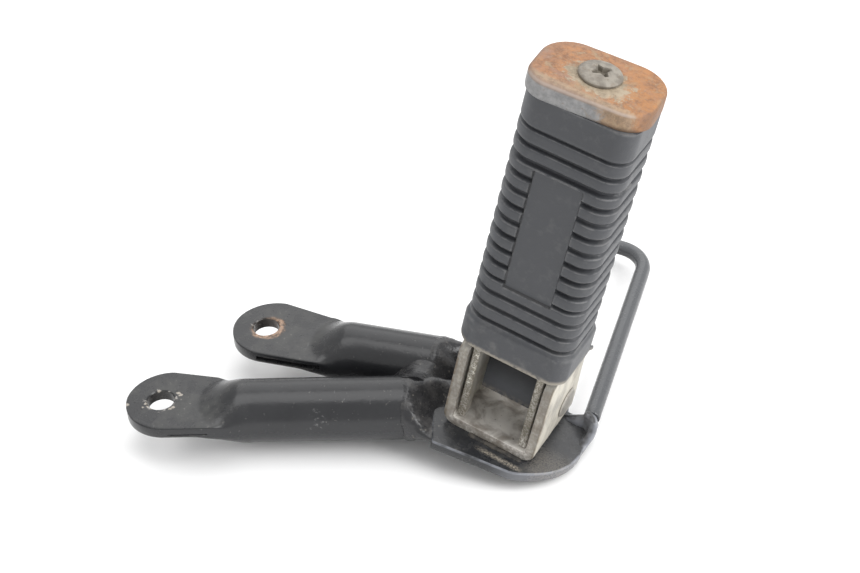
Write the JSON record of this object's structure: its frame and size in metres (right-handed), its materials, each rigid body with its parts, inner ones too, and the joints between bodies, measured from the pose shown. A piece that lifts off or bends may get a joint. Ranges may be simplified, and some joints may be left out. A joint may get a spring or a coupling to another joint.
{
  "type": "foot peg",
  "caption": "Folding passenger foot peg with a grooved rubber grip, pivoting in a clevis on a two-tube bolt-on bracket with a heel guard rod.",
  "frame": {"origin": "centre of the front bolt hole, halfway through the flattened tube end", "axes": "+Z along both bolt holes, out of the side that the bolt heads sit on; +X roughly from the bolt holes to the peg; +Y towards the heel guard, the way the peg folds"},
  "size_m": [0.1522, 0.1623, 0.1413],
  "materials": {
    "black_paint": "satin black paint, scuffed, with chips at the bolt holes",
    "worn_zinc": "dull zinc plating with brown road grime",
    "dirty_weld": "painted weld bead with packed dust",
    "pin_steel": "dull steel",
    "grip_rubber": "moulded matt rubber, aged grey",
    "rusty_cap": "zinc-plated sheet steel, mostly gone to light orange rust",
    "screw_steel": "dull plated steel with dirt in the recess"
  },
  "bodies": {
    "bracket": {"front_tube": "black_paint", "rear_tube": "black_paint", "tube_crotch_weld": "black_paint", "mounting_plate": "black_paint", "front_tube_weld": "black_paint", "rear_tube_weld": "black_paint", "clevis_bracket": "worn_zinc", "clevis_front_weld": "dirty_weld", "clevis_rear_weld": "dirty_weld", "heel_guard": "black_paint", "guard_foot_weld": "black_paint", "guard_end_weld": "black_paint", "pivot_pin": "pin_steel", "pin_washer": "worn_zinc", "retaining_clip": "pin_steel", "friction_washers": "pin_steel"},
    "peg": {"pivot_spacer": "pin_steel", "peg_core": "worn_zinc", "core_end_plate": "worn_zinc", "weld_nut": "pin_steel", "rubber_grip": "grip_rubber", "end_cap": "rusty_cap", "end_screw": "screw_steel"}
  },
  "joints": [
    {"name": "peg_fold", "type": "hinge", "parent": "bracket", "child": "peg", "pos_m": [0.09858, 0.0545, 0.00585], "axis": [-0.9778, 0, 0.2096], "range_deg": [0, 88]}
  ]
}
